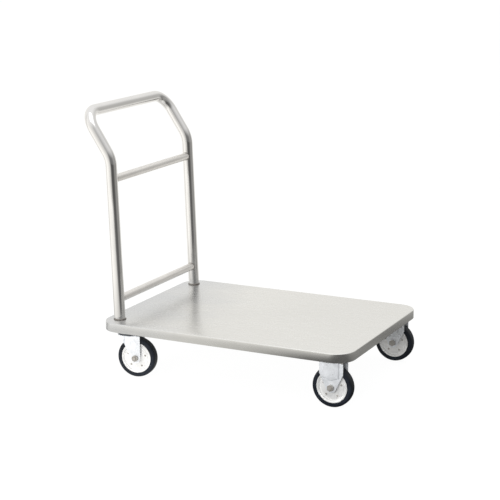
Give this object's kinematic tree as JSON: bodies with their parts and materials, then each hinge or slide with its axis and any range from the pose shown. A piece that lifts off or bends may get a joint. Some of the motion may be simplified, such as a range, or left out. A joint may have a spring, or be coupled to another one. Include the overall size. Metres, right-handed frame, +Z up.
{
  "type": "platform luggage cart",
  "caption": "Low stainless platform cart for luggage: sheet deck with downturned skirt, leaning bent-tube push handle with crossbars, rigid front and swivel rear casters.",
  "frame": {"origin": "on the floor, at the middle of the cart's bounding box", "axes": "+X forward, away from the handle; +Y to the left of a person pushing; +Z up"},
  "size_m": [0.9151, 0.6, 0.8304],
  "materials": {
    "brushed_sheet": "fine brushed stainless sheet",
    "channel_sheet": "plain mill-finish stainless sheet",
    "polished_tube": "polished stainless tube",
    "satin_tube": "satin stainless tube",
    "weld_collar": "dressed weld bead",
    "tyre_rubber": "black rubber, slightly blue",
    "rim_zinc": "bright zinc-plated pressing",
    "zinc_plate": "bright zinc-plated pressing",
    "dark_steel": "oiled bearing steel",
    "fastener_zinc": "zinc-plated fastener"
  },
  "bodies": {
    "frame": {"deck_panel": "brushed_sheet", "rear_cross_channel": "channel_sheet", "middle_cross_channel": "channel_sheet", "front_cross_channel": "channel_sheet", "rear_spine_channel": "channel_sheet", "front_spine_channel": "channel_sheet", "handle_bow": "polished_tube", "upper_crossbar": "satin_tube", "lower_crossbar": "satin_tube", "left_post_collar": "weld_collar", "right_post_collar": "weld_collar", "front_left_bracket": "zinc_plate", "front_left_axle_bolt": "fastener_zinc", "front_left_axle_nut": "fastener_zinc", "front_left_axle_sleeve": "dark_steel", "rear_left_swivel_plate": "zinc_plate", "rear_left_king_bolt": "fastener_zinc", "rear_left_king_nut": "fastener_zinc", "front_right_bracket": "zinc_plate", "front_right_axle_bolt": "fastener_zinc", "front_right_axle_nut": "fastener_zinc", "front_right_axle_sleeve": "dark_steel", "rear_right_swivel_plate": "zinc_plate", "rear_right_king_bolt": "fastener_zinc", "rear_right_king_nut": "fastener_zinc"},
    "rear_left_fork": {"rear_left_fork": "zinc_plate", "rear_left_ball_race": "dark_steel", "rear_left_axle_bolt": "fastener_zinc", "rear_left_axle_nut": "fastener_zinc", "rear_left_axle_sleeve": "dark_steel"},
    "rear_right_fork": {"rear_right_fork": "zinc_plate", "rear_right_ball_race": "dark_steel", "rear_right_axle_bolt": "fastener_zinc", "rear_right_axle_nut": "fastener_zinc", "rear_right_axle_sleeve": "dark_steel"},
    "front_left_wheel": {"front_left_tyre": "tyre_rubber", "front_left_rim_outer": "rim_zinc", "front_left_rim_inner": "rim_zinc", "front_left_roller_bearing": "dark_steel"},
    "front_right_wheel": {"front_right_tyre": "tyre_rubber", "front_right_rim_outer": "rim_zinc", "front_right_rim_inner": "rim_zinc", "front_right_roller_bearing": "dark_steel"},
    "rear_left_wheel": {"rear_left_tyre": "tyre_rubber", "rear_left_rim_outer": "rim_zinc", "rear_left_rim_inner": "rim_zinc", "rear_left_roller_bearing": "dark_steel"},
    "rear_right_wheel": {"rear_right_tyre": "tyre_rubber", "rear_right_rim_outer": "rim_zinc", "rear_right_rim_inner": "rim_zinc", "rear_right_roller_bearing": "dark_steel"}
  },
  "joints": [
    {"name": "rear_left_swivel", "type": "hinge", "parent": "frame", "child": "rear_left_fork", "pos_m": [-0.29392, 0.252, 0.13], "axis": [0, 0, 1], "continuous": true},
    {"name": "rear_right_swivel", "type": "hinge", "parent": "frame", "child": "rear_right_fork", "pos_m": [-0.29392, -0.252, 0.13], "axis": [0, 0, 1], "continuous": true},
    {"name": "front_left_wheel_spin", "type": "hinge", "parent": "frame", "child": "front_left_wheel", "pos_m": [0.39508, 0.252, 0.0625], "axis": [0, 1, 0], "continuous": true},
    {"name": "front_right_wheel_spin", "type": "hinge", "parent": "frame", "child": "front_right_wheel", "pos_m": [0.39508, -0.252, 0.0625], "axis": [0, 1, 0], "continuous": true},
    {"name": "rear_left_wheel_spin", "type": "hinge", "parent": "rear_left_fork", "child": "rear_left_wheel", "pos_m": [-0.26392, 0.252, 0.0625], "axis": [0, 1, 0], "continuous": true},
    {"name": "rear_right_wheel_spin", "type": "hinge", "parent": "rear_right_fork", "child": "rear_right_wheel", "pos_m": [-0.26408, -0.24886, 0.0625], "axis": [-0.1045, 0.9945, 0], "continuous": true}
  ]
}
